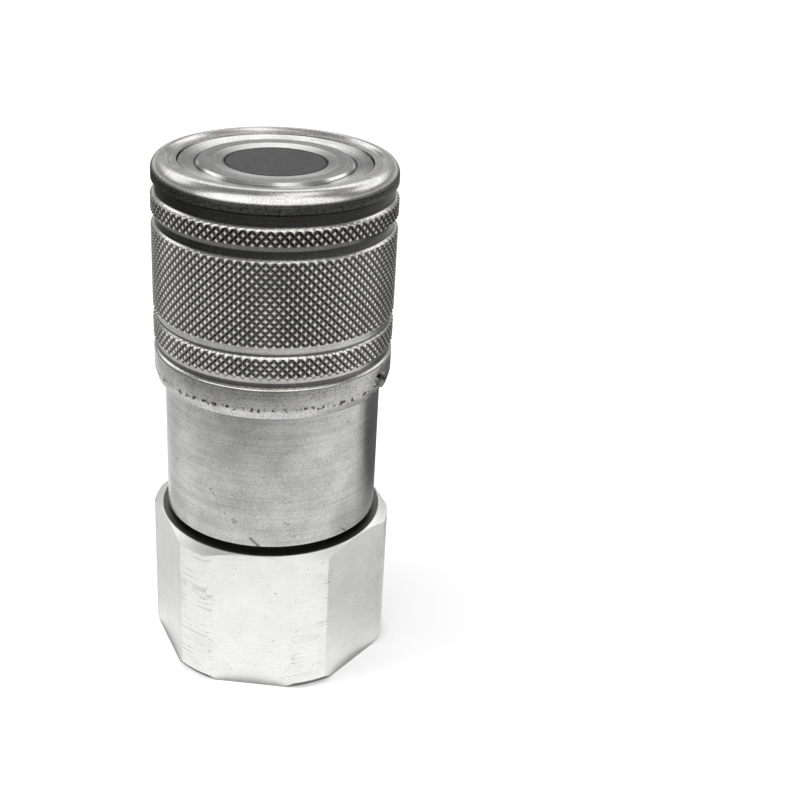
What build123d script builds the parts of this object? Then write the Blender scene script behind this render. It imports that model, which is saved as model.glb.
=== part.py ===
from build123d import *
from math import atan2, cos, radians, sin, tan
import os

# Flat face quick coupling, socket half, standing on its threaded port with the flat face up.
# Origin: centre of the port face. +Z runs through the coupling to the flat face. Sizes in mm.

# Overall heights above the port face
total_length = 85.5
hex_height = 25.3
neck_height = 0.9

# Depth of the body's, valve sleeve's and stem head's faces below the locking sleeve's face
body_face_depth = 0.6
valve_face_depth = 0.6
head_face_depth = 0.8

# Radial clearances
running_clearance = 0.09
guide_clearance = 0.07
valve_clearance = 0.08
fixed_clearance = 0.05

# Locking sleeve: outside radii, stepped from the grip
grip_radius = 19.15
rim_step = 0.1
rim_round = 1.0
neck_groove_cut = 0.5
upper_groove_cut = 0.5
middle_groove_cut = 0.27
lower_groove_cut = 0.3
skirt_end_cut = 0.5
skirt_wall = 1.58

# Depth below the sleeve's face of each step in the grip
neck_groove_start = 3.1
neck_groove_floor = 4.7
upper_knurl_start = 5.35
upper_knurl_end = 8.0
upper_groove_floor = 9.5
main_knurl_start = 10.3
main_knurl_end = 23.65
middle_groove_floor = 25.1
lower_knurl_start = 25.6
lower_knurl_end = 28.6
lower_groove_floor = 29.9
skirt_start = 30.6
skirt_taper_start = 34.05
skirt_end_depth = 35.55

# Locking sleeve: inside
sleeve_land_width = 1.3
sleeve_land_bevel = 0.35
sleeve_land_depth = 0.4
front_land_length = 4.4
ball_groove_cut = 1.31
lock_land_depth = 17.2

# Socket body
spring_room = 2.45
nose_wall = 2.68
nose_chamfer = 0.25
lead_in_drop = 0.4
valve_flange_step = 1.38
valve_stop_depth = 25.5
spring_step_depth = 23.9
stop_recess_cut = 1.1
stop_recess_depth = 31.9
body_end_chamfer = 0.3
edge_break = 0.2

# Sleeve motion: travel, and the snap ring that ends it
sleeve_travel = 3.8
stop_ring_height = 1.1
stop_ring_depth = 30.35
stop_ring_bite = 0.58
stop_ring_gap_angle = 22.0

# Locking balls
ball_count = 10
ball_radius = 2.0
ball_plane_depth = 7.6
ball_set_in = 0.75
ball_stroke = 1.1
ball_hole_clearance = 0.05
ball_cam_clearance = 0.06

# Release notch in the skirt, and the safety ball that stands in it
notch_azimuth = 67.5
notch_width = 4.3
notch_height = 3.95
safety_ball_radius = 1.5
safety_ball_depth = 34.2
safety_ball_stand_off = 0.1
safety_seat_clearance = 0.05

# Valve sleeve, the ring that slides inside the body
valve_flange_height = 3.0
valve_lip_length = 6.4
valve_flow_step = 1.0
valve_spring_wall = 1.29
valve_spring_depth = 15.5
valve_face_width = 4.39
valve_edge_chamfer = 0.4
valve_bevel_width = 2.0
valve_bevel_drop = 0.22
ball_relief_clearance = 0.15

# Valve stem with its flat head
head_clearance = 0.1
head_length = 7.6
head_cone_length = 4.5
head_edge_break = 0.1
stem_radius = 3.6
stem_collar_radius = 5.5
stem_collar_height = 1.6
stem_tail_radius = 3.0
stem_tail_recess = 2.0
stem_centre_radius = 1.0
stem_centre_depth = 1.6

# Perforated hub that carries the stem
hub_thickness = 3.0
hub_boss_radius = 5.2
hub_boss_length = 3.4
hub_hole_count = 8
hub_hole_radius = 2.1
hub_hole_edge = 0.9

# Port adapter: hexagon turned from round bar, its port below and its spigot above
hex_across_flats = 37.0
hex_corner_stand = 1.5
hex_turn = -3.95
hex_chamfer_width = 1.7
hex_chamfer_angle = 30.0
port_end_chamfer_width = 0.6
port_end_chamfer_height = 1.0
port_thread_radius = 13.22
port_thread_length = 17.0
port_countersink_radius = 14.2
port_countersink_angle = 45.0
spigot_thread_wall = 2.5
spigot_thread_length = 12.0
spigot_step = 0.85
spigot_length = 6.0
spigot_wall = 2.95
spigot_relief_width = 1.2
spigot_relief_height = 0.15
neck_shoulder = 0.9

# Seals: ring section radius, groove width and place
seal_section = 0.86
seal_squeeze_gap = 0.03
seal_groove_width = 3.2
backup_width = 1.2
bore_seal_depth = 17.2
bore_groove_cut = 1.78
head_seal_depth = 2.6
head_groove_width = 1.9
spigot_seal_setback = 1.5
spigot_groove_cut = 1.75

# Springs
sleeve_wire_radius = 0.8
sleeve_spring_turns = 3.2
valve_wire_radius = 0.85
valve_spring_play = 0.15
valve_spring_turns = 6.0
spring_end_grind = 0.45

# Radii that follow from the grip inwards
rim_radius = grip_radius - rim_step
neck_groove_radius = grip_radius - neck_groove_cut
upper_groove_radius = grip_radius - upper_groove_cut
middle_groove_radius = grip_radius - middle_groove_cut
lower_groove_radius = grip_radius - lower_groove_cut
skirt_end_radius = grip_radius - skirt_end_cut
skirt_bore_radius = grip_radius - skirt_wall
body_radius = skirt_bore_radius - guide_clearance
nose_radius = body_radius - spring_room
sleeve_bore_radius = nose_radius + running_clearance
sleeve_land_radius = sleeve_bore_radius + sleeve_land_width
ball_groove_radius = sleeve_bore_radius + ball_groove_cut
nipple_bore_radius = nose_radius - nose_wall
bore_groove_floor = nipple_bore_radius + bore_groove_cut
valve_bore_radius = nipple_bore_radius + valve_flange_step
valve_radius = nipple_bore_radius - valve_clearance
valve_spring_bore = valve_radius - valve_spring_wall
valve_mouth_radius = valve_radius - valve_face_width
head_radius = valve_mouth_radius - head_clearance
valve_flow_radius = valve_mouth_radius + valve_flow_step
stop_recess_radius = body_radius - stop_recess_cut
stop_ring_outer_radius = skirt_bore_radius + stop_ring_bite
stop_ring_inner_radius = stop_recess_radius + edge_break
ball_rest_radius = nose_radius - ball_set_in
safety_ball_centre_radius = body_radius + safety_ball_stand_off
spigot_thread_radius = body_radius - spigot_thread_wall
spigot_radius = spigot_thread_radius - spigot_step
spigot_relief_radius = spigot_radius + spigot_relief_height
spigot_groove_floor = spigot_radius - spigot_groove_cut
flow_bore_radius = spigot_radius - spigot_wall
neck_radius = spigot_thread_radius + neck_shoulder
hub_hole_circle = flow_bore_radius - hub_hole_edge - hub_hole_radius

# Radii of the hexagon's bar and of its upper chamfer
bar_radius = hex_across_flats / 2 + hex_corner_stand
hex_chamfer_radius = bar_radius - hex_chamfer_width

# Heights that follow, from the port face up
adapter_shoulder = hex_height + neck_height
spigot_thread_end = adapter_shoulder + spigot_thread_length
spigot_seal_height = spigot_thread_end + spigot_seal_setback
spigot_end = spigot_thread_end + spigot_length
hub_bottom = spigot_end
hub_seat_height = hub_bottom + hub_thickness

# Heights that follow, from the sleeve's face down
body_face = total_length - body_face_depth
valve_face = total_length - valve_face_depth
head_face = total_length - head_face_depth
ball_height = total_length - ball_plane_depth
lock_land_end = total_length - lock_land_depth
spring_step_height = total_length - spring_step_depth
valve_stop_height = total_length - valve_stop_depth
valve_bottom = valve_stop_height - valve_flange_height
valve_spring_seat = total_length - valve_spring_depth
skirt_end = total_length - skirt_end_depth
stop_recess_start = total_length - stop_recess_depth
stop_ring_start = total_length - stop_ring_depth - stop_ring_height
stop_shoulder = total_length - stop_ring_depth + sleeve_travel + fixed_clearance
safety_ball_height = total_length - safety_ball_depth

os.makedirs("parts", exist_ok=True)


def save(piece, name):
    """Label a finished piece and write it under its node name."""
    piece.part.label = name
    export_step(piece.part, f"parts/{name}.step")


def ring_seal(mean_radius, section_radius, height):
    """A round-section sealing ring, lying level at the given height."""
    with BuildPart() as ring:
        with BuildSketch(Plane.XZ):
            with Locations((mean_radius, height)):
                Circle(section_radius)
        revolve(axis=Axis.Z)
    return ring


def flat_ring(inner_radius, outer_radius, bottom, top):
    """A plain ring of rectangular section."""
    with BuildPart() as ring:
        with BuildSketch(Plane.XY.offset(bottom)):
            Circle(outer_radius)
            Circle(inner_radius, mode=Mode.SUBTRACT)
        extrude(amount=top - bottom)
    return ring


def coil_spring(mean_radius, wire_radius, turns, bottom, top):
    """A compression spring whose two ends are ground flat where it seats."""
    sunk = wire_radius - spring_end_grind
    height = top - bottom - 2 * sunk
    with BuildPart() as spring:
        with BuildLine() as path:
            Helix(pitch=height / turns, height=height, radius=mean_radius, center=(0, 0, bottom + sunk))
        with BuildSketch(Plane(origin=path.line @ 0, z_dir=path.line % 0)):
            Circle(wire_radius)
        sweep(path=path.line, is_frenet=True)
        with BuildSketch(Plane.XY.offset(bottom)):
            Circle(mean_radius + 2 * wire_radius)
        extrude(amount=top - bottom, mode=Mode.INTERSECT)
    return spring


# Port adapter: hexagon with a threaded port below and a screwed spigot above
hex_chamfer_drop = (bar_radius - hex_chamfer_radius) * tan(radians(hex_chamfer_angle))
spigot_groove_end = spigot_seal_height + seal_groove_width
countersink_depth = (port_countersink_radius - port_thread_radius) * tan(radians(port_countersink_angle))
with BuildPart() as port_adapter:
    with BuildSketch(Plane.XZ):
        with BuildLine():
            Polyline(
                (flow_bore_radius, 0),
                (bar_radius - port_end_chamfer_width, 0),
                (bar_radius, port_end_chamfer_height),
                (bar_radius, hex_height - hex_chamfer_drop),
                (hex_chamfer_radius, hex_height),
                (neck_radius, hex_height),
                (neck_radius, adapter_shoulder),
                (spigot_relief_radius, adapter_shoulder),
                (spigot_relief_radius, adapter_shoulder + spigot_relief_width),
                (spigot_thread_radius, adapter_shoulder + spigot_relief_width),
                (spigot_thread_radius, spigot_thread_end),
                (spigot_radius, spigot_thread_end),
                (spigot_radius, spigot_seal_height),
                (spigot_groove_floor, spigot_seal_height),
                (spigot_groove_floor, spigot_groove_end),
                (spigot_radius, spigot_groove_end),
                (spigot_radius, spigot_end),
                (flow_bore_radius, spigot_end),
                close=True,
            )
        make_face()
    revolve(axis=Axis.Z)
    with BuildSketch():
        Circle(2 * bar_radius)
        RegularPolygon(
            hex_across_flats / 2,
            6,
            major_radius=False,
            rotation=hex_turn,
            mode=Mode.SUBTRACT,
        )
    extrude(amount=hex_height, mode=Mode.SUBTRACT)
    with BuildSketch(Plane.XZ):
        with BuildLine():
            Polyline(
                (0, 0),
                (port_countersink_radius, 0),
                (port_thread_radius, countersink_depth),
                (port_thread_radius, port_thread_length),
                (0, port_thread_length),
                close=True,
            )
        make_face()
    revolve(axis=Axis.Z, mode=Mode.SUBTRACT)
save(port_adapter, "port_adapter")

adapter_ring_radius = spigot_radius - seal_section
adapter_seal = ring_seal(
    adapter_ring_radius, seal_section, spigot_seal_height + backup_width + seal_section + seal_squeeze_gap
)
save(adapter_seal, "adapter_seal")
adapter_backup_ring = flat_ring(
    spigot_groove_floor + fixed_clearance,
    spigot_radius - fixed_clearance,
    spigot_seal_height,
    spigot_seal_height + backup_width,
)
save(adapter_backup_ring, "adapter_backup_ring")

# Socket body: one turned piece from the adapter's shoulder to the flat face
bore_groove_start = total_length - bore_seal_depth
bore_groove_end = bore_groove_start + seal_groove_width
with BuildPart() as socket_body:
    with BuildSketch(Plane.XZ):
        with BuildLine():
            Polyline(
                (spigot_thread_radius + fixed_clearance, adapter_shoulder),
                (body_radius - body_end_chamfer, adapter_shoulder),
                (body_radius, adapter_shoulder + body_end_chamfer),
                (body_radius, stop_recess_start),
                (stop_recess_radius, stop_recess_start),
                (stop_recess_radius, stop_shoulder),
                (body_radius, stop_shoulder),
                (body_radius, spring_step_height),
                (nose_radius, spring_step_height),
                (nose_radius, body_face - nose_chamfer),
                (nose_radius - nose_chamfer, body_face),
                (nipple_bore_radius, body_face - lead_in_drop),
                (nipple_bore_radius, bore_groove_end),
                (bore_groove_floor, bore_groove_end),
                (bore_groove_floor, bore_groove_start),
                (nipple_bore_radius, bore_groove_start),
                (nipple_bore_radius, valve_stop_height),
                (valve_bore_radius, valve_stop_height),
                (valve_bore_radius, hub_seat_height),
                (spigot_radius + fixed_clearance, hub_seat_height),
                (spigot_radius + fixed_clearance, spigot_thread_end),
                (spigot_thread_radius + fixed_clearance, spigot_thread_end),
                close=True,
            )
        make_face()
    revolve(axis=Axis.Z)
    # Ball pockets: straight from outside, closing in at the bore so that no ball falls through
    ball_in_radius = ball_rest_radius - ball_stroke
    pocket_radius = ball_radius + ball_hole_clearance
    lip_reach = ball_in_radius - nipple_bore_radius
    lip_radius = (ball_radius**2 - lip_reach**2) ** 0.5 + ball_hole_clearance
    for index in range(ball_count):
        azimuth = radians(360 / ball_count * index)
        outward = Vector(sin(azimuth), -cos(azimuth), 0)
        ball_level = Vector(0, 0, ball_height)
        rest_plane = Plane(origin=outward * ball_in_radius + ball_level, z_dir=outward)
        bore_plane = Plane(origin=outward * nipple_bore_radius + ball_level, z_dir=outward)
        with BuildSketch(rest_plane):
            Circle(pocket_radius)
        extrude(amount=nose_radius, mode=Mode.SUBTRACT)
        with BuildSketch(rest_plane):
            Circle(pocket_radius)
        with BuildSketch(bore_plane):
            Circle(lip_radius)
        loft(mode=Mode.SUBTRACT)
        with BuildSketch(bore_plane):
            Circle(lip_radius)
        extrude(amount=-lip_reach, mode=Mode.SUBTRACT)
    # Seat for the safety ball
    notch_outward = Vector(sin(radians(notch_azimuth)), -cos(radians(notch_azimuth)), 0)
    seat_floor = safety_ball_centre_radius - safety_ball_radius - safety_seat_clearance
    with BuildSketch(
        Plane(origin=notch_outward * seat_floor + Vector(0, 0, safety_ball_height), z_dir=notch_outward)
    ):
        Circle(safety_ball_radius + safety_seat_clearance)
    extrude(amount=body_radius, mode=Mode.SUBTRACT)
save(socket_body, "socket_body")

with BuildPart() as safety_ball:
    with Locations(notch_outward * safety_ball_centre_radius + Vector(0, 0, safety_ball_height)):
        Sphere(safety_ball_radius)
save(safety_ball, "safety_ball")

for index in range(ball_count):
    azimuth = radians(360 / ball_count * index)
    centre = Vector(sin(azimuth), -cos(azimuth), 0) * ball_rest_radius + Vector(0, 0, ball_height)
    with BuildPart() as lock_ball:
        with Locations(centre):
            Sphere(ball_radius)
    save(lock_ball, f"lock_ball_{index + 1:02d}")

bore_ring_radius = nipple_bore_radius + seal_section
bore_seal = ring_seal(bore_ring_radius, seal_section, bore_groove_end - seal_section - seal_squeeze_gap)
save(bore_seal, "bore_seal")
bore_backup_ring = flat_ring(
    nipple_bore_radius + fixed_clearance,
    bore_groove_floor - fixed_clearance,
    bore_groove_start,
    bore_groove_start + backup_width,
)
save(bore_backup_ring, "bore_backup_ring")

# Locking sleeve: grip bands and dished grooves outside, ball groove, cam and lock land inside
cam_slope = ball_stroke / sleeve_travel
cam_angle = atan2(ball_stroke, sleeve_travel)
cam_reach = ball_radius + ball_cam_clearance
cam_contact_radius = ball_rest_radius + cam_reach * cos(cam_angle)
cam_contact_height = ball_height - cam_reach * sin(cam_angle)
cam_top = cam_contact_height + (ball_groove_radius - cam_contact_radius) / cam_slope
cam_bottom = cam_contact_height - (cam_contact_radius - sleeve_bore_radius) / cam_slope
ring_groove_radius = stop_ring_outer_radius + fixed_clearance


def groove(start, floor, end, upper_radius, floor_radius):
    """A dished groove: a long shallow slope down to the floor, then a short steep wall."""
    slope_middle = (start + floor) / 2
    slope_bulge = upper_radius - (upper_radius - floor_radius) * 0.36
    ThreePointArc(
        (upper_radius, total_length - start),
        (slope_bulge, total_length - slope_middle),
        (floor_radius, total_length - floor),
    )
    Line((floor_radius, total_length - floor), (grip_radius, total_length - end))


def band(start, end, radius):
    """A straight band of the grip between two depths."""
    Line((radius, total_length - start), (radius, total_length - end))


with BuildPart() as locking_sleeve:
    with BuildSketch(Plane.XZ):
        with BuildLine():
            Line(
                (sleeve_land_radius + sleeve_land_bevel, total_length),
                (rim_radius - rim_round, total_length),
            )
            RadiusArc(
                (rim_radius - rim_round, total_length),
                (rim_radius, total_length - rim_round),
                rim_round,
            )
            band(rim_round, neck_groove_start, rim_radius)
            groove(
                neck_groove_start, neck_groove_floor, upper_knurl_start, rim_radius, neck_groove_radius
            )
            band(upper_knurl_start, upper_knurl_end, grip_radius)
            groove(
                upper_knurl_end, upper_groove_floor, main_knurl_start, grip_radius, upper_groove_radius
            )
            band(main_knurl_start, main_knurl_end, grip_radius)
            groove(
                main_knurl_end, middle_groove_floor, lower_knurl_start, grip_radius, middle_groove_radius
            )
            band(lower_knurl_start, lower_knurl_end, grip_radius)
            groove(lower_knurl_end, lower_groove_floor, skirt_start, grip_radius, lower_groove_radius)
            Polyline(
                (grip_radius, total_length - skirt_start),
                (grip_radius, total_length - skirt_taper_start),
                (skirt_end_radius, skirt_end),
                (skirt_bore_radius, skirt_end),
                (skirt_bore_radius, stop_ring_start),
                (ring_groove_radius, stop_ring_start),
                (ring_groove_radius, stop_ring_start + stop_ring_height),
                (skirt_bore_radius, stop_ring_start + stop_ring_height),
                (skirt_bore_radius, lock_land_end),
                (sleeve_bore_radius, lock_land_end),
                (sleeve_bore_radius, cam_bottom),
                (ball_groove_radius, cam_top),
                (ball_groove_radius, total_length - front_land_length),
                (sleeve_bore_radius, total_length - front_land_length),
                (sleeve_bore_radius, total_length - sleeve_land_depth),
                (sleeve_land_radius, total_length - sleeve_land_depth),
                (sleeve_land_radius + sleeve_land_bevel, total_length),
            )
        make_face()
    revolve(axis=Axis.Z)
    # Release notch: open at the skirt's end, round at its top
    notch_plane = Plane(origin=notch_outward * stop_recess_radius, x_dir=(0, 0, 1), z_dir=notch_outward)
    notch_round = notch_width / 2
    notch_top = skirt_end + notch_height
    with BuildSketch(notch_plane):
        with Locations((notch_top - notch_round, 0)):
            Circle(notch_round)
        with Locations((skirt_end - notch_round, 0)):
            Rectangle(
                notch_top - skirt_end, notch_width, align=(Align.MIN, Align.CENTER)
            )
    extrude(amount=body_radius, mode=Mode.SUBTRACT)
save(locking_sleeve, "locking_sleeve")

# Wire ring that snaps into the skirt and stops the sleeve at the body's shoulder
with BuildPart() as sleeve_stop_ring:
    ring_start_angle = notch_azimuth - 90 + stop_ring_gap_angle / 2
    ring_plane = Plane(
        origin=(0, 0, 0),
        x_dir=(cos(radians(ring_start_angle)), sin(radians(ring_start_angle)), 0),
        z_dir=(sin(radians(ring_start_angle)), -cos(radians(ring_start_angle)), 0),
    )
    with BuildSketch(ring_plane):
        with BuildLine():
            Polyline(
                (stop_ring_inner_radius, stop_ring_start),
                (stop_ring_outer_radius, stop_ring_start),
                (stop_ring_outer_radius, stop_ring_start + stop_ring_height),
                (stop_ring_inner_radius, stop_ring_start + stop_ring_height),
                close=True,
            )
        make_face()
    revolve(axis=Axis.Z, revolution_arc=360 - stop_ring_gap_angle)
save(sleeve_stop_ring, "sleeve_stop_ring")

sleeve_spring = coil_spring(
    (nose_radius + skirt_bore_radius) / 2,
    sleeve_wire_radius,
    sleeve_spring_turns,
    spring_step_height,
    lock_land_end,
)
save(sleeve_spring, "sleeve_spring")

# Valve sleeve: slides back when the other half pushes on its face
relief_floor = ball_in_radius - ball_radius - ball_relief_clearance
relief_half = ball_radius + ball_relief_clearance
lip_bottom = valve_face - valve_lip_length
with BuildPart() as valve_sleeve:
    with BuildSketch(Plane.XZ):
        with BuildLine():
            Polyline(
                (valve_spring_bore, valve_bottom),
                (valve_bore_radius - running_clearance, valve_bottom),
                (valve_bore_radius - running_clearance, valve_stop_height),
                (valve_radius, valve_stop_height),
                (valve_radius, ball_height - relief_half),
                (relief_floor, ball_height - relief_half),
                (relief_floor, ball_height + relief_half),
                (valve_radius, ball_height + relief_half),
                (valve_radius, valve_face - valve_edge_chamfer),
                (valve_radius - valve_edge_chamfer, valve_face),
                (valve_mouth_radius + valve_bevel_width, valve_face),
                (valve_mouth_radius, valve_face - valve_bevel_drop),
                (valve_mouth_radius, lip_bottom),
                (valve_flow_radius, lip_bottom - (valve_flow_radius - valve_mouth_radius)),
                (valve_flow_radius, valve_spring_seat),
                (valve_spring_bore, valve_spring_seat),
                close=True,
            )
        make_face()
    revolve(axis=Axis.Z)
save(valve_sleeve, "valve_sleeve")

valve_spring = coil_spring(
    valve_spring_bore - valve_wire_radius - valve_spring_play,
    valve_wire_radius,
    valve_spring_turns,
    hub_seat_height,
    valve_spring_seat,
)
save(valve_spring, "valve_spring")

# Valve stem: flat head in the face, neck, collar on the hub and a tail through it
head_bottom = head_face - head_length
head_groove_end = head_face - head_seal_depth
head_groove_start = head_groove_end - head_groove_width
head_groove_floor = valve_mouth_radius - fixed_clearance - 2 * seal_section
tail_end = hub_bottom - hub_boss_length + stem_tail_recess
with BuildPart() as valve_stem:
    with BuildSketch(Plane.XZ):
        with BuildLine():
            Polyline(
                (0, tail_end),
                (stem_tail_radius, tail_end),
                (stem_tail_radius, hub_seat_height),
                (stem_collar_radius, hub_seat_height),
                (stem_collar_radius, hub_seat_height + stem_collar_height),
                (stem_radius, hub_seat_height + stem_collar_height),
                (stem_radius, head_bottom - head_cone_length),
                (head_groove_floor, head_bottom),
                (head_radius, head_bottom),
                (head_radius, head_groove_start),
                (head_groove_floor, head_groove_start),
                (head_groove_floor, head_groove_end),
                (head_radius, head_groove_end),
                (head_radius, head_face - head_edge_break),
                (head_radius - head_edge_break, head_face),
                (0, head_face),
                close=True,
            )
        make_face()
    revolve(axis=Axis.Z)
    with BuildSketch(Plane.XY.offset(tail_end)):
        Circle(stem_centre_radius)
    extrude(amount=stem_centre_depth, taper=30, mode=Mode.SUBTRACT)
save(valve_stem, "valve_stem")

head_seal = ring_seal(
    valve_mouth_radius - fixed_clearance - seal_section,
    seal_section,
    (head_groove_start + head_groove_end) / 2,
)
save(head_seal, "head_seal")

# Perforated hub, clamped between the body's shoulder and the adapter's spigot
with BuildPart() as stem_hub:
    with BuildSketch(Plane.XY.offset(hub_bottom)):
        Circle(spigot_radius - fixed_clearance)
    extrude(amount=hub_seat_height - hub_bottom)
    with BuildSketch(Plane.XY.offset(hub_bottom)):
        Circle(hub_boss_radius)
    extrude(amount=-hub_boss_length)
    with BuildSketch(Plane.XY.offset(hub_bottom - hub_boss_length)):
        Circle(stem_tail_radius + fixed_clearance)
    extrude(amount=hub_seat_height - hub_bottom + hub_boss_length, mode=Mode.SUBTRACT)
    with BuildSketch(Plane.XY.offset(hub_bottom)):
        with PolarLocations(hub_hole_circle, hub_hole_count):
            Circle(hub_hole_radius)
    extrude(amount=hub_seat_height - hub_bottom, mode=Mode.SUBTRACT)
save(stem_hub, "stem_hub")
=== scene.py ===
from collections import namedtuple
from math import cos, pi, radians, sin

import bmesh
import bpy
from mathutils import Matrix, Vector


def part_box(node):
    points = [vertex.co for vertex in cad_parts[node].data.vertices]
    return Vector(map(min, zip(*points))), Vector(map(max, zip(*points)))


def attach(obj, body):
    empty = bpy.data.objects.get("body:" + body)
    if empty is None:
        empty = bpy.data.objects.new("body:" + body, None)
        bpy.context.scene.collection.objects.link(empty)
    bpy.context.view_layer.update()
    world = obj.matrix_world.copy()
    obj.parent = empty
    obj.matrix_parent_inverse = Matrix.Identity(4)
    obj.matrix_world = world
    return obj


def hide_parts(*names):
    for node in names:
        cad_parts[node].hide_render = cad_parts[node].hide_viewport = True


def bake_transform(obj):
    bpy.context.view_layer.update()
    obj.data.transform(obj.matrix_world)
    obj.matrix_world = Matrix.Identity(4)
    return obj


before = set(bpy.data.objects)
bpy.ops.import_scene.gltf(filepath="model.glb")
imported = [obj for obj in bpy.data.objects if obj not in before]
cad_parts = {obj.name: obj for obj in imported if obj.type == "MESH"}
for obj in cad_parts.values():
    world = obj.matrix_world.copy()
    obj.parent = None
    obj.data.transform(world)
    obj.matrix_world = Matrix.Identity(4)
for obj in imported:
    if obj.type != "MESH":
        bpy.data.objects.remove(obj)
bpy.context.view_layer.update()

MM = 0.001
face_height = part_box("locking_sleeve")[1].z / MM

# Camera: place and film in millimetres, angles in degrees, focal length and centre in pixels
picture_width = 800
camera_place = (20.2, -197.4, 141.6)
camera_pitch = 25.63
camera_yaw = -1.07
camera_roll = -2.84
camera_focal = 1328.7
camera_centre = (372.9, 390.4)
camera_film = 36.0
camera_near = 10.0

# Knurl: diamonds standing on their corners, so a row is half a diamond high
knurl_crest = 19.27
knurl_root = 18.9
knurl_columns = 176
knurl_tip = 0.15
knurl_row = 2 * pi * knurl_crest / knurl_columns
knurl_shave_step = 0.15

# Sleeve: radii, and depths below its face, in millimetres
rim_radius = 19.05
rim_round = 1.8
skirt_radius = 19.15
skirt_end_radius = 18.75
skirt_taper_start = 34.05
skirt_end = 35.55
band_edge = 18.92
band_edge_height = 0.04
sleeve_edge_round = 0.12
land_radius = 16.44
land_bevel = 0.35
land_depth = 0.4
sleeve_bore = 15.14
ball_groove_radius = 16.45
front_land = 4.4
cam_top = 9.63
cam_bottom = 14.16
lock_land = 17.2
skirt_bore = 17.57
ring_groove_radius = 18.2
ring_groove_top = 30.35
ring_groove_bottom = 31.45

# Sleeve's grooves: depths below its face, then radii of the upper edge and of the wall
Groove = namedtuple("Groove", "start wall_start wall_end end edge wall")
neck_groove = Groove(start=3.1, wall_start=3.4, wall_end=5.1, end=5.7, edge=rim_radius, wall=18.5)
upper_groove = Groove(start=8.0, wall_start=8.8, wall_end=10.0, end=10.45, edge=band_edge, wall=18.55)
middle_groove = Groove(start=23.65, wall_start=24.85, wall_end=25.15, end=25.6, edge=band_edge, wall=18.74)
lower_groove = Groove(start=28.6, wall_start=29.6, wall_end=30.25, end=30.6, edge=band_edge, wall=18.7)
grooves = (neck_groove, upper_groove, middle_groove, lower_groove)
knurl_bands = [(above.end, below.start) for above, below in zip(grooves, grooves[1:])]
skirt_start = lower_groove.end

# Release notch in the skirt: turn from the front towards +X in degrees, sizes in millimetres
notch_turn = 67.5
notch_width = 4.3
notch_height = 3.95
notch_sides = 48
notch_cutter_start = 16.9
notch_cutter_reach = 4.0

# Port thread: 14 threads to the inch, in millimetres
thread_pitch = 1.814
thread_crest = 12.06
thread_root = 13.27
thread_crest_width = 0.3
thread_root_width = 1.6
thread_start = 1.3
thread_turns = 8
thread_steps = 64
thread_fade = 0.8
thread_least = 0.02

# Springs: wire radii in millimetres, and turns
sleeve_wire = 0.8
sleeve_turns = 3.2
valve_wire = 0.85
valve_turns = 6.0
spring_end_grind = 0.45
wire_sides = 16
spring_steps = 64

# Mesh work: distances in millimetres, and the angles past which an edge shows, in degrees
merge_distance = 0.0001
cut_distance = 0.0005
skin_margin = 0.1
grip_margin = 0.5
depth_margin = 0.001
row_margin = 0.01
sleeve_sharp = 24
thread_sharp = 35
coil_sharp = 40

# Painted shade in the grooves and on the upper knurl band: depths where it starts and ends, how far it
# fades, and how dark it is
groove_shade = (
    (neck_groove.end, upper_groove.start, 0.05, 0.15),
    (neck_groove.wall_start, neck_groove.wall_end, 0.1, 0.82),
    (upper_groove.start, upper_groove.wall_end, 0.05, 0.8),
    (middle_groove.wall_start, middle_groove.wall_end, 0.1, 0.6),
    (lower_groove.wall_start, lower_groove.wall_end, 0.1, 0.65),
    (middle_groove.start, middle_groove.wall_end, 0.1, 0.12),
    (lower_groove.start, lower_groove.wall_end, 0.1, 0.12),
)

# Colour of all dirt and of all painted shade
dirt_and_shade_colour = (0.035, 0.034, 0.03)

# Darker knurl valleys, painted shade on the rim's side, and grain and pits elsewhere on the sleeve: how far
# they reach in millimetres, and how dark they are
band_fade = 0.05
valley_clear = 0.08
crest_clear = 0.07
valley_darkness = 0.92
rim_clear = 0.1
rim_fade = 0.2
rim_side_shade = 0.6
grain_dirt = 0.3
skirt_clear = 0.2
skirt_fade = 0.1
pits_above = 0.35
pits_below = 0.15
pits_fade = 0.2
pits_dirt = 0.8

# Painted shade and dirt in the dark recess between the body and the hexagon: heights and darkness
recess_bottom = 25.3
recess_top = 26.2
recess_top_fade = (-0.15, 0.1)
recess_bottom_fade = 0.1
body_recess_shade_and_dirt = 0.9
adapter_recess_shade_and_dirt = 0.93

# Painted shade at the left and right of the face's ring gaps, and round the stem's head: radii, the height
# where it starts, its reach, darkness and sine of its turn
stem_edge = 7.8
stem_gap = 7.95
inner_gap = 12.37
outer_gap = 15.1
gap_bottom = 80.0
gap_bottom_fade = 1.0
gap_reach = 0.3
gap_shade = 0.9
gap_side = (0.55, 0.85)
stem_rim_start = 0.35
stem_rim_full = 0.1

# Marks on the body and the hexagon: radii and heights in millimetres, and how dark they are
broad_line_dirt = 0.16
hair_line_dirt = 0.4
first_scratch_dirt = 0.6
second_scratch_dirt = 0.4
adapter_speck_dirt = 0.5
corner_start = 19.3
corner_full = 19.7
corner_line_dirt = 0.05
corner_patch_dirt = 0.3
# Painted contact shadow on the hexagon's lower edge: its radius, slope, fade, top and darkness
foot_radius = 19.4
foot_slope = 0.6
foot_fade = 0.1
foot_top = (0.9, 1.05)
foot_shade = 0.7

# Floor in the metal: its tone near the coupling, and where and how far that fades, in millimetres
floor_reach = 1400.0
floor_paper = (0.8, 0.8, 0.8)
floor_light = 0.14
near_tone = 1.1
fade_centre = (30.0, 60.0)
fade_start = 105.0
fade_end = 255.0
fade_tone = 0.05

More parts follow.
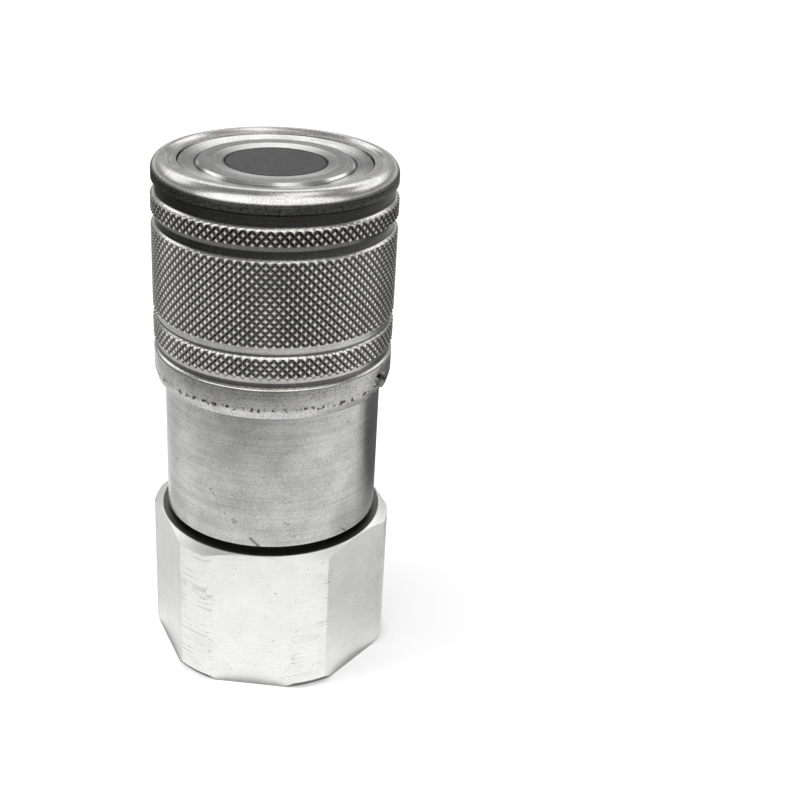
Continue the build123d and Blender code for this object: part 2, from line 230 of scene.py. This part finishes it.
# Painted shadows on the floor, seen only in the metal: the coupling's contact shadow, and shade and dark
# reflections of things beside it. Centre, radius where they end, radius where they are full, and depth
painted_shadow_patches = (
    ((66.0, 84.0), 82.0, 40.0, 0.88),
    ((44.0, 2.0), 36.0, 12.0, 0.45),
    ((-42.0, 12.0), 34.0, 8.0, 0.32),
    ((-85.0, 62.0), 62.0, 20.0, 0.32),
    ((0.0, 0.0), 20.5, 19.4, 0.7),
)

# World in the metal: tones, and edges on a sphere of radius 1, from where a wall starts to where it is full
mid_sky = 0.31
horizon_height = 0.08
horizon_reach = 0.14
horizon_lift = 0.6
wall_lift = 1.5
front_wall_edge = (0.32, 0.46)
back_wall_edge = (0.0, 0.3)
back_wall_low = 0.46
back_wall_high = 0.7
back_wall_fade = 0.06
roof_height = (0.88, 0.95)
roof_side = (-0.06, 0.1)

# Lamps: the place that they face, in millimetres
lamp_aim = (0, 0, 40)

scene = bpy.context.scene


class Value:
    """A socket in a node tree. Arithmetic on it adds the Math nodes."""

    def __init__(self, tree, socket=None):
        self.tree = tree
        self.socket = socket

    def node(self, kind, settings=None, inputs=None, output=0):
        """Add a node, set it, feed its inputs and give one of its outputs."""
        made = self.tree.nodes.new(kind)
        for name, value in (settings or {}).items():
            setattr(made, name, value)
        for name, value in (inputs or {}).items():
            if isinstance(value, Value):
                self.tree.links.new(value.socket, made.inputs[name])
            else:
                made.inputs[name].default_value = value
        return Value(self.tree, made.outputs[output] if made.outputs else None)

    def maths(self, operation, *values, clamp=False):
        """One operation on numbers or values."""
        settings = {"operation": operation, "use_clamp": clamp}
        return self.node("ShaderNodeMath", settings, dict(enumerate(values)))

    def __add__(self, other):
        return self.maths("ADD", self, other)

    __radd__ = __add__

    def __sub__(self, other):
        return self.maths("SUBTRACT", self, other)

    def __rsub__(self, other):
        return self.maths("SUBTRACT", other, self)

    def __mul__(self, other):
        return self.maths("MULTIPLY", self, other)

    __rmul__ = __mul__

    def __pow__(self, other):
        return self.maths("POWER", self, other)

    def __abs__(self):
        return self.maths("ABSOLUTE", self)

    def between(self, low, high):
        """0 at low and 1 at high, with a soft step in between."""
        settings = {"interpolation_type": "SMOOTHSTEP"}
        return self.node("ShaderNodeMapRange", settings, {"Value": self, "From Min": low, "From Max": high})

    def within(self, low, high, fade):
        """1 from low to high, with edges that fade outwards."""
        return self.between(low - fade, low) * (1 - self.between(high, high + fade))

    def near(self, centre, reach):
        """1 at centre, falling to 0 at reach either side of it."""
        return 1 - abs(self - centre).between(0, reach)

    def mix(self, low, high):
        """A colour from low where this is 0 to high where it is 1."""
        tones = [tone if isinstance(tone, Value) else (*tone, 1) for tone in (low, high)]
        inputs = {0: self, 6: tones[0], 7: tones[1]}
        return self.node("ShaderNodeMix", {"data_type": "RGBA"}, inputs, output=2)

    def noise(self, vector, scale, detail, roughness=0.5):
        """Noise from 0 to 1 at a vector."""
        inputs = {"Vector": vector, "Scale": scale, "Detail": detail, "Roughness": roughness}
        return self.node("ShaderNodeTexNoise", inputs=inputs)

    def vector(self, x, y, z):
        return self.node("ShaderNodeCombineXYZ", inputs={"X": x, "Y": y, "Z": z})


def length(x, y):
    """Distance of x and y from the axis."""
    return (x * x + y * y) ** 0.5


def total(*masks):
    """The masks added up, and no more than 1."""
    return masks[0].maths("ADD", masks[0], sum(masks[1:]), clamp=True)


Place = namedtuple("Place", "tree point x y z radius turn")


def place_in(tree):
    """Object coordinates in millimetres, with the radius and the turn about the axis."""
    metres = tree.node("ShaderNodeTexCoord", output="Object")
    point = tree.node("ShaderNodeVectorMath", {"operation": "SCALE"}, {0: metres, "Scale": 1 / MM})
    x, y, z = [tree.node("ShaderNodeSeparateXYZ", inputs={0: point}, output=index) for index in range(3)]
    return Place(tree, point, x, y, z, length(x, y), tree.maths("ARCTAN2", y, x))


def empty_tree(holder):
    """The node tree of a new material or world, cleared, as a Value."""
    holder.use_nodes = True
    holder.node_tree.nodes.clear()
    return Value(holder.node_tree)


def bump(tree, height, distance):
    """A normal from a height that runs from 0 to 1 over distance in millimetres."""
    return tree.node("ShaderNodeBump", inputs={"Height": height, "Distance": distance * MM})


def add_surface(tree, colour, roughness, normal, metallic, anisotropic=0.0):
    """The shader of a piece. Where it is anisotropic, its gloss is stretched round the axis."""
    inputs = {
        "Base Color": colour,
        "Metallic": metallic,
        "Roughness": roughness,
        "Normal": normal,
        "Anisotropic": anisotropic,
        "Anisotropic Rotation": 0.25,
    }
    shader = tree.node("ShaderNodeBsdfPrincipled", inputs=inputs)
    tree.node("ShaderNodeOutputMaterial", inputs={"Surface": shader})


def tool_lines(at, scale, wander):
    """Fine lines left by a lathe tool, the same along a flat face and along a wall."""
    across = at.tree.vector(at.radius * scale, at.z * scale, at.turn * wander)
    return at.tree.noise(across, scale=1.0, detail=3.0, roughness=0.6)


def turned_steel(name, light, dark, line_depth, roughness, anisotropic=0.0, soil_and_shade=None):
    """Plated turned steel: lathe lines, blotches, grain and small specks, and dirt and painted shade where
    its masks put them.
    """
    made = bpy.data.materials.new(name)
    tree = empty_tree(made)
    at = place_in(tree)
    lines = tool_lines(at, scale=2.6, wander=0.5)
    fine = tool_lines(at, scale=7.0, wander=1.5)
    blotch = tree.noise(at.point, scale=0.22, detail=3.0, roughness=0.6)
    speck = tree.noise(at.point, scale=3.2, detail=2.0, roughness=0.7).between(0.62, 0.72)
    grain = tree.noise(at.point, scale=4.6, detail=1.0)
    tone = (blotch * 0.3 + lines * 0.22 + fine * 0.13 + grain * 0.35).between(0.38, 0.62)
    colour = (tone * (1 - speck * 0.5)).mix(dark, light)
    rough = roughness + (lines - 0.5) * 0.12 + speck * 0.1
    height = lines * 0.5 + fine * 0.3 + grain * 0.4 - speck * 0.25
    if soil_and_shade is not None:
        # Dirt and painted shade darken the colour and sink the bump
        dirt_and_shade = soil_and_shade(at)
        colour = dirt_and_shade.mix(colour, dirt_and_shade_colour)
        height = height - dirt_and_shade * 0.6
    add_surface(tree, colour, rough, bump(tree, height, line_depth), metallic=1.0, anisotropic=anisotropic)
    return made


def moulded_ring(name, light, dark, roughness):
    """Moulded rubber or plastic: soft blotches and a fine grain."""
    made = bpy.data.materials.new(name)
    tree = empty_tree(made)
    point = place_in(tree).point
    blotch = tree.noise(point, scale=0.5, detail=3.0, roughness=0.6)
    grain = tree.noise(point, scale=6.0, detail=2.0, roughness=0.6)
    colour = blotch.between(0.3, 0.7).mix(dark, light)
    rough = roughness + (grain - 0.5) * 0.15
    add_surface(tree, colour, rough, bump(tree, grain, distance=0.01), metallic=0.0)
    return made


def beside(turn):
    """1 at the left and right of the axis, 0 in front of it and behind."""
    return 1 - abs(turn.maths("SINE", turn)).between(*gap_side)


def scratches(at, slant):
    """Thin straight lines up the wall, leaning by slant, on a few spots only."""
    along = at.tree.vector(at.turn * 9 + at.z * slant, at.z * 0.04, slant)
    line = at.tree.noise(along, scale=1.0, detail=0.0).near(0.5, 0.008)
    return line * at.tree.noise(at.point, scale=0.35, detail=1.0, roughness=0.4).between(0.6, 0.64)


def sleeve_soil_and_shade(at):
    """Painted shade in the grooves and on the rim's side, darker knurl valleys, grain on the rim and skirt,
    and pits along the taper.
    """
    depth = face_height - at.z
    grain = at.tree.noise(at.point, scale=2.2, detail=3.0, roughness=0.7).between(0.47, 0.66)
    pit = at.tree.noise(at.point, scale=1.1, detail=2.0, roughness=0.6).between(0.5, 0.58)
    bands = sum(depth.within(start, end, band_fade) for start, end in knurl_bands)
    # The knurl's valleys are darkened
    low_ground = 1 - at.radius.between(knurl_root + valley_clear, knurl_crest - crest_clear)
    valleys = bands * low_ground * valley_darkness
    # Painted shade in the grooves and on the upper knurl band
    groove_shading = sum(depth.within(start, end, fade) * dark for start, end, fade, dark in groove_shade)
    # Painted shade on the rim's side, with grain on the rim and the skirt
    rim = depth.within(rim_round + rim_clear, neck_groove.wall_start, rim_fade)
    skirt = depth.within(skirt_start + skirt_clear, skirt_end, skirt_fade)
    pitted = depth.within(skirt_taper_start - pits_above, skirt_taper_start + pits_below, pits_fade)
    rim_shade_and_grain = rim * (rim_side_shade + grain * grain_dirt) + skirt * grain * grain_dirt
    return total(valleys, groove_shading, rim_shade_and_grain, pitted * pit * pits_dirt)


def body_soil_and_shade(at):
    """Painted shade and dirt in the recess over the hexagon, painted shade at the left and right of the
    face's ring gaps, some heavier tool lines and a few scratches.
    """
    fade_low, fade_high = recess_top_fade
    # Painted shade and dirt in the recess over the hexagon
    recess = (1 - at.z.between(recess_top + fade_low, recess_top + fade_high)) * body_recess_shade_and_dirt
    broad = tool_lines(at, scale=0.9, wander=0.25).between(0.52, 0.68) * broad_line_dirt
    hairs = tool_lines(at, scale=5.0, wander=0.2).between(0.66, 0.72) * hair_line_dirt
    scratch = scratches(at, 0.5) * first_scratch_dirt + scratches(at, -0.8) * second_scratch_dirt
    # Painted shade at the left and right of the face's ring gaps
    edges = at.radius.near(inner_gap, gap_reach) + at.radius.near(outer_gap, gap_reach)
    upper = at.z.between(gap_bottom, gap_bottom + gap_bottom_fade)
    return total(recess, upper * edges * beside(at.turn) * gap_shade, broad, hairs, scratch)


def adapter_soil_and_shade(at):
    """Small specks, tool lines on the round corners, painted shade and dirt in the recess at the top, and a
    painted contact shadow on the lower edge.
    """
    speck = at.tree.noise(at.point, scale=2.0, detail=2.0, roughness=0.6).between(0.69, 0.73)
    patch = at.tree.noise(at.point, scale=0.3, detail=1.0).between(0.48, 0.6)
    corner = at.radius.between(corner_start, corner_full)
    lines = tool_lines(at, scale=3.5, wander=0.8).between(0.5, 0.66)
    marks = lines * corner * (corner_line_dirt + patch * corner_patch_dirt)
    # Painted contact shadow on the lower edge
    cone = (at.radius - at.z * foot_slope).between(foot_radius - foot_fade, foot_radius)
    contact_shadow = cone * (1 - at.z.between(*foot_top)) * foot_shade
    # Painted shade and dirt in the recess under the body
    recess = at.z.between(recess_bottom - recess_bottom_fade, recess_bottom) * adapter_recess_shade_and_dirt
    return total(speck * adapter_speck_dirt, recess, marks, contact_shadow)


def valve_gap_shade(at):
    """Painted shade at the left and right of the two gaps beside the valve sleeve."""
    edges = at.radius.near(stem_gap, gap_reach) + at.radius.near(inner_gap, gap_reach)
    return edges * beside(at.turn) * gap_shade


def stem_rim_shade(at):
    """Painted shade: a black rim round the stem's flat head."""
    return at.radius.between(stem_edge - stem_rim_start, stem_edge - stem_rim_full)


finish_of = {
    "adapter": turned_steel(
        "adapter_steel",
        light=(0.89, 0.89, 0.88),
        dark=(0.79, 0.79, 0.78),
        line_depth=0.01,
        roughness=0.42,
        soil_and_shade=adapter_soil_and_shade,
    ),
    "body": turned_steel(
        "body_steel",
        light=(0.63, 0.63, 0.625),
        dark=(0.4, 0.4, 0.395),
        line_depth=0.005,
        roughness=0.2,
        anisotropic=0.5,
        soil_and_shade=body_soil_and_shade,
    ),
    "sleeve": turned_steel(
        "sleeve_steel",
        light=(0.69, 0.685, 0.67),
        dark=(0.42, 0.417, 0.4),
        line_depth=0.007,
        roughness=0.26,
        anisotropic=0.3,
        soil_and_shade=sleeve_soil_and_shade,
    ),
    "valve": turned_steel(
        "valve_steel",
        light=(0.66, 0.66, 0.65),
        dark=(0.5, 0.5, 0.495),
        line_depth=0.004,
        roughness=0.2,
        anisotropic=0.4,
        soil_and_shade=valve_gap_shade,
    ),
    "stem": turned_steel(
        "stem_steel",
        light=(0.1, 0.1, 0.104),
        dark=(0.066, 0.066, 0.07),
        line_depth=0.002,
        roughness=0.24,
        soil_and_shade=stem_rim_shade,
    ),
    "hub": turned_steel(
        "hub_steel",
        light=(0.5, 0.5, 0.49),
        dark=(0.38, 0.38, 0.37),
        line_depth=0.01,
        roughness=0.42,
        anisotropic=0.2,
    ),
    "ball": turned_steel(
        "ball_steel",
        light=(0.3, 0.3, 0.29),
        dark=(0.2, 0.2, 0.19),
        line_depth=0.001,
        roughness=0.25,
    ),
    "spring": turned_steel(
        "spring_wire",
        light=(0.4, 0.4, 0.41),
        dark=(0.28, 0.28, 0.29),
        line_depth=0.003,
        roughness=0.35,
    ),
    "seal": moulded_ring(
        "seal_rubber",
        light=(0.03, 0.03, 0.032),
        dark=(0.018, 0.018, 0.02),
        roughness=0.5,
    ),
    "backup": moulded_ring(
        "backup_plastic",
        light=(0.75, 0.73, 0.68),
        dark=(0.66, 0.64, 0.6),
        roughness=0.45,
    ),
}
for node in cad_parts.values():
    for index, held in enumerate(node.data.materials):
        node.data.materials[index] = finish_of[held.name]


def add_object(name, shape, finish=None, sharp=None):
    """A bmesh made into an object at the origin, with its material and its sharp edges."""
    mesh = bpy.data.meshes.new(name)
    shape.to_mesh(mesh)
    shape.free()
    if finish is not None:
        mesh.materials.append(finish)
    if sharp is not None:
        mesh.shade_smooth()
        mesh.set_sharp_from_angle(angle=radians(sharp))
    made = bpy.data.objects.new(name, mesh)
    scene.collection.objects.link(made)
    return made


def radius_of(point):
    """A mesh point's distance from the axis, in millimetres."""
    return point.co.xy.length / MM


def depth_of(point):
    """A mesh point's depth below the sleeve's face, in millimetres."""
    return face_height - point.co.z / MM


def outline(shape, corners):
    """A closed outline in the XZ plane, from radii and heights."""
    points = [shape.verts.new((radius * MM, 0, height * MM)) for radius, height in corners]
    shape.faces.new(points)
    return points


def round_corners(shape, points, offset, segments):
    """Bevel the points by an offset in millimetres."""
    bmesh.ops.bevel(
        shape,
        geom=points,
        offset=offset * MM,
        offset_type="OFFSET",
        segments=segments,
        profile=0.5,
        affect="VERTICES",
        material=-1,
    )


def spin_outline(shape, steps):
    """Turn the outline once about the axis into a closed skin."""
    bmesh.ops.delete(shape, geom=shape.faces[:], context="FACES_ONLY")
    bmesh.ops.spin(
        shape,
        geom=shape.verts[:] + shape.edges[:],
        cent=(0, 0, 0),
        axis=(0, 0, 1),
        angle=2 * pi,
        steps=steps,
        use_merge=True,
    )
    bmesh.ops.remove_doubles(shape, verts=shape.verts[:], dist=merge_distance * MM)
    bmesh.ops.recalc_face_normals(shape, faces=shape.faces[:])


def wind(shape, turns, steps, rise):
    """Sweep an outline about the axis while it climbs, and close its two ends."""
    bmesh.ops.delete(shape, geom=shape.faces[:], context="FACES_ONLY")
    count = round(turns * steps)
    bmesh.ops.spin(
        shape,
        geom=shape.verts[:] + shape.edges[:],
        cent=(0, 0, 0),
        axis=(0, 0, 1),
        dvec=(0, 0, rise / count * MM),
        angle=2 * pi * turns,
        steps=count,
    )
    bmesh.ops.holes_fill(shape, edges=[edge for edge in shape.edges if edge.is_boundary])
    bmesh.ops.recalc_face_normals(shape, faces=shape.faces[:])


def notch_cutter():
    """A slot on end, round at its top, that runs out below the skirt."""
    shape = bmesh.new()
    half = notch_width / 2
    bmesh.ops.create_circle(shape, cap_ends=True, segments=notch_sides, radius=half * MM)
    for point in shape.verts:
        if point.co.y < 0:
            point.co.y -= notch_height * MM
    lift = (face_height - skirt_end + notch_height - half) * MM
    bmesh.ops.rotate(shape, verts=shape.verts[:], cent=(0, 0, 0), matrix=Matrix.Rotation(pi / 2, 3, "X"))
    bmesh.ops.translate(shape, verts=shape.verts[:], vec=(0, -notch_cutter_start * MM, lift))
    side = bmesh.ops.extrude_face_region(shape, geom=shape.faces[:])["geom"]
    moved = [item for item in side if isinstance(item, bmesh.types.BMVert)]
    bmesh.ops.translate(shape, verts=moved, vec=(0, -notch_cutter_reach * MM, 0))
    turn = Matrix.Rotation(radians(notch_turn), 3, "Z")
    bmesh.ops.rotate(shape, verts=shape.verts[:], cent=(0, 0, 0), matrix=turn)
    bmesh.ops.recalc_face_normals(shape, faces=shape.faces[:])
    return add_object("notch_cutter", shape)


def cut_with(shape, cutter):
    """The bmesh with the cutter's solid taken out of it."""
    held = add_object("cut_blank", shape)
    cut = held.modifiers.new("cut", "BOOLEAN")
    cut.operation = "DIFFERENCE"
    cut.solver = "EXACT"
    cut.object = cutter
    bpy.context.view_layer.update()
    evaluated = held.evaluated_get(bpy.context.evaluated_depsgraph_get())
    result = bmesh.new()
    result.from_mesh(evaluated.to_mesh())
    evaluated.to_mesh_clear()
    for spent in (held, cutter):
        bpy.data.objects.remove(spent)
    return result


def sleeve_blank(rows):
    """The sleeve turned from one outline, with the grip at the knurl's root, and notched."""
    outside = [(rim_radius, 0), (rim_radius, neck_groove.start)]
    grip = [(knurl_root, neck_groove.wall_end + row * knurl_row) for row in range(rows + 1)]
    skirt = [
        (skirt_radius, skirt_start),
        (skirt_radius, skirt_taper_start),
        (skirt_end_radius, skirt_end),
    ]
    inside = [
        (skirt_bore, skirt_end),
        (skirt_bore, ring_groove_bottom),
        (ring_groove_radius, ring_groove_bottom),
        (ring_groove_radius, ring_groove_top),
        (skirt_bore, ring_groove_top),
        (skirt_bore, lock_land),
        (sleeve_bore, lock_land),
        (sleeve_bore, cam_bottom),
        (ball_groove_radius, cam_top),
        (ball_groove_radius, front_land),
        (sleeve_bore, front_land),
        (sleeve_bore, land_depth),
        (land_radius, land_depth),
        (land_radius + land_bevel, 0),
    ]
    shape = bmesh.new()
    corners = [(radius, face_height - depth) for radius, depth in outside + grip + skirt + inside]
    points = outline(shape, corners)
    skirt_points = points[-len(skirt + inside) : -len(inside)]
    round_corners(shape, [points[0]], rim_round, segments=8)
    round_corners(shape, [points[1], *skirt_points, points[-1]], sleeve_edge_round, segments=2)
    spin_outline(shape, knurl_columns)
    return cut_with(shape, notch_cutter())


def raise_knurl(shape, rows):
    """Lift every second point of the grip to a blunt crest, so that diamonds stand between the valleys."""
    row_of = {}
    for point in shape.verts:
        row = (depth_of(point) - neck_groove.wall_end) / knurl_row
        if radius_of(point) > knurl_root - skin_margin and -row_margin < row < rows + row_margin:
            row_of[point] = round(row)
    crests = []
    for point, row in row_of.items():
        turned = point.co.xy.angle_signed(Vector((1, 0)))
        if (row + round(turned / (2 * pi) * knurl_columns)) % 2 == 0:
            crests.append(point)
            point.co.xy *= knurl_crest / knurl_root
    grip = [face for face in shape.faces if all(point in row_of for point in face.verts)]
    bmesh.ops.triangulate(shape, faces=grip, quad_method="SHORT_EDGE")
    round_corners(shape, crests, knurl_tip, segments=1)


def grip_outline(depth):
    """Radius to which the grip is turned at a depth below the face: full, or cut down in a groove."""
    for groove in grooves:
        if groove.start <= depth < groove.wall_start:
            share = (depth - groove.start) / (groove.wall_start - groove.start)
            return groove.edge + (groove.wall - groove.edge) * share
        if groove.wall_start <= depth < groove.wall_end:
            return groove.wall
        if groove.wall_end <= depth <= groove.end:
            share = (depth - groove.wall_end) / (groove.end - groove.wall_end)
            return groove.wall + (knurl_crest - groove.wall) * share
    return knurl_crest


def groove_cuts(groove):
    """Depths at which the grip's faces are cut, so that they follow a groove's outline."""
    chamfer = groove.end - groove.wall_end
    steps = round(chamfer / knurl_shave_step)
    lower = [groove.wall_end + chamfer * step / steps for step in range(1, steps + 1)]
    return [groove.start - band_edge_height, groove.start, groove.wall_start, groove.wall_end, *lower]


def in_grip(point):
    """Whether a point is on the outside between the rim and the skirt."""
    above, below = neck_groove.start - depth_margin, skirt_start + depth_margin
    return radius_of(point) > knurl_root - grip_margin and above <= depth_of(point) <= below


def shave_grip(shape):
    """Cut the grip's faces along the grooves and turn them down to the grip's outline."""
    grip = [face for face in shape.faces if all(in_grip(point) for point in face.verts)]
    for groove in grooves:
        faces = []
        for face in grip:
            if face.is_valid and groove.start - knurl_row < depth_of(face.verts[0]) < groove.end + knurl_row:
                faces.append(face)
        edges = dict.fromkeys(edge for face in faces for edge in face.edges)
        points = dict.fromkeys(point for face in faces for point in face.verts)
        geometry = [*faces, *edges, *points]
        for depth in groove_cuts(groove):
            geometry = bmesh.ops.bisect_plane(
                shape,
                geom=geometry,
                dist=cut_distance * MM,
                plane_co=(0, 0, (face_height - depth) * MM),
                plane_no=(0, 0, 1),
            )["geom"]
    for point in shape.verts:
        if in_grip(point):
            radius, limit = radius_of(point), grip_outline(depth_of(point))
            if radius > limit:
                point.co.xy *= limit / radius


def knurled_sleeve():
    """Sleeve turned and notched, then knurled and shaved to its grooves."""
    rows = int((lower_groove.wall_end - neck_groove.wall_end) / knurl_row)
    shape = sleeve_blank(rows)
    raise_knurl(shape, rows)
    shave_grip(shape)
    return add_object("knurled_sleeve", shape, finish_of["sleeve"], sleeve_sharp)


sleeve = knurled_sleeve()
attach(sleeve, "sleeve")
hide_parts("locking_sleeve")


def port_thread():
    """Ridges of the port thread, which fade into the bore at both ends."""
    root, crest = thread_root_width / 2, thread_crest_width / 2
    thread_end = thread_start + thread_turns * thread_pitch
    shape = bmesh.new()
    corners = [(thread_root, -root), (thread_root, root), (thread_crest, crest), (thread_crest, -crest)]
    outline(shape, [(radius, thread_start + lift) for radius, lift in corners])
    wind(shape, thread_turns, thread_steps, thread_turns * thread_pitch)
    for point in shape.verts:
        radius, height = radius_of(point), point.co.z / MM
        if radius < thread_root - skin_margin:
            from_end = min(height - thread_start, thread_end - height) + crest
            full = min(1, max(thread_least, from_end / thread_fade))
            point.co.xy *= (thread_root - (thread_root - radius) * full) / radius
    return add_object("port_thread", shape, finish_of["adapter"], thread_sharp)


thread = port_thread()
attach(thread, "socket")


def coil(node, wire, turns):
    """A compression spring in place of its solid, with ends ground flat."""
    low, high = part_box(node)
    middle_radius = high.x / MM - wire
    sunk = wire - spring_end_grind
    shape = bmesh.new()
    bmesh.ops.create_circle(shape, cap_ends=True, segments=wire_sides, radius=wire * MM)
    bmesh.ops.rotate(shape, verts=shape.verts[:], cent=(0, 0, 0), matrix=Matrix.Rotation(pi / 2, 3, "X"))
    bmesh.ops.translate(shape, verts=shape.verts[:], vec=(middle_radius * MM, 0, low.z + sunk * MM))
    wind(shape, turns, spring_steps, (high.z - low.z) / MM - 2 * sunk)
    for point in shape.verts:
        point.co.z = min(high.z, max(low.z, point.co.z))
    made = add_object(node + "_coil", shape, finish_of["spring"], coil_sharp)
    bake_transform(made)
    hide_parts(node)


coil("sleeve_spring", sleeve_wire, sleeve_turns)
coil("valve_spring", valve_wire, valve_turns)


def floor_material():
    """Paper that is white to the camera, and in the metal bright near the coupling and dim in painted shadow
    patches.
    """
    made = bpy.data.materials.new("floor_paper")
    tree = empty_tree(made)
    at = place_in(tree)

    def away_from(centre):
        return length(at.x - centre[0], at.y - centre[1])

    sheen = near_tone * (1 - away_from(fade_centre).between(fade_start, fade_end) * (1 - fade_tone))
    # Painted shadows on the floor, seen only in the metal
    for centre, end, full, depth in painted_shadow_patches:
        sheen = sheen * (1 - away_from(centre).between(end, full) * depth)
    camera = tree.node("ShaderNodeLightPath", output="Is Camera Ray")
    glossy = tree.node("ShaderNodeLightPath", output="Is Glossy Ray")
    paper = tree.node("ShaderNodeBsdfDiffuse", inputs={"Color": (*floor_paper, 1)})
    lift = tree.node("ShaderNodeEmission", inputs={"Color": camera * floor_light})
    seen = tree.node("ShaderNodeAddShader", inputs={0: paper, 1: lift})
    mirrored = tree.node("ShaderNodeEmission", inputs={"Color": sheen})
    shader = tree.node("ShaderNodeMixShader", inputs={0: glossy, 1: seen, 2: mirrored})
    tree.node("ShaderNodeOutputMaterial", inputs={"Surface": shader})
    return made


def paper_floor():
    """A large flat sheet at the height of the port's face."""
    shape = bmesh.new()
    bmesh.ops.create_grid(shape, x_segments=1, y_segments=1, size=floor_reach * MM)
    return add_object("floor", shape, floor_material())


floor = paper_floor()


def studio_world():
    """White, but in the metal mid grey, with a pale horizon, bright walls and a bright roof."""
    world = bpy.data.worlds.new("studio")
    tree = empty_tree(world)
    ray = tree.node("ShaderNodeTexCoord", output="Generated")
    right, behind, up = [
        tree.node("ShaderNodeSeparateXYZ", inputs={0: ray}, output=index) for index in range(3)
    ]
    front_wall = (0 - behind).between(*front_wall_edge)
    back_wall = behind.between(*back_wall_edge) * up.within(back_wall_low, back_wall_high, back_wall_fade)
    roof = up.between(*roof_height) * right.between(*roof_side)
    horizon = up.near(horizon_height, horizon_reach) * horizon_lift
    mirrored = mid_sky + horizon + (front_wall + back_wall + roof) * wall_lift
    glossy = tree.node("ShaderNodeLightPath", output="Is Glossy Ray")
    light = tree.node("ShaderNodeBackground", inputs={"Color": 1 + glossy * (mirrored - 1)})
    tree.node("ShaderNodeOutputWorld", inputs={"Surface": light})
    return world


scene.world = studio_world()


def softbox(name, where, width, height, power):
    """A rectangular lamp that faces the coupling. Places and sizes in millimetres, power in watts."""
    lamp = bpy.data.lights.new(name, "AREA")
    lamp.shape = "RECTANGLE"
    lamp.size = width * MM
    lamp.size_y = height * MM
    lamp.energy = power
    made = bpy.data.objects.new(name, lamp)
    made.visible_glossy = False
    made.location = Vector(where) * MM
    made.rotation_euler = (Vector(where) - Vector(lamp_aim)).to_track_quat("Z", "Y").to_euler()
    scene.collection.objects.link(made)


softbox("overhead_softbox", where=(-60, 60, 620), width=520, height=420, power=0.9)
softbox("left_softbox", where=(-520, -160, 420), width=300, height=300, power=2.2)


def add_camera():
    """The camera, from its place, its three angles and the centre of its picture."""
    data = bpy.data.cameras.new("camera")
    data.sensor_width = camera_film
    data.lens = camera_focal * camera_film / picture_width
    data.shift_x = (picture_width / 2 - camera_centre[0]) / picture_width
    data.shift_y = (camera_centre[1] - picture_width / 2) / picture_width
    data.clip_start = camera_near * MM
    pitch, yaw, roll = radians(camera_pitch), radians(camera_yaw), radians(camera_roll)
    forward = Vector((sin(yaw) * cos(pitch), cos(yaw) * cos(pitch), -sin(pitch)))
    level = Vector((cos(yaw), -sin(yaw), 0))
    down = -level.cross(forward)
    across = cos(roll) * level + sin(roll) * down
    below = -sin(roll) * level + cos(roll) * down
    turn = Matrix((across, -below, -forward)).transposed().to_4x4()
    made = bpy.data.objects.new("camera", data)
    made.matrix_world = Matrix.Translation(Vector(camera_place) * MM) @ turn
    scene.collection.objects.link(made)
    scene.camera = made


add_camera()
scene.view_settings.view_transform = "Standard"
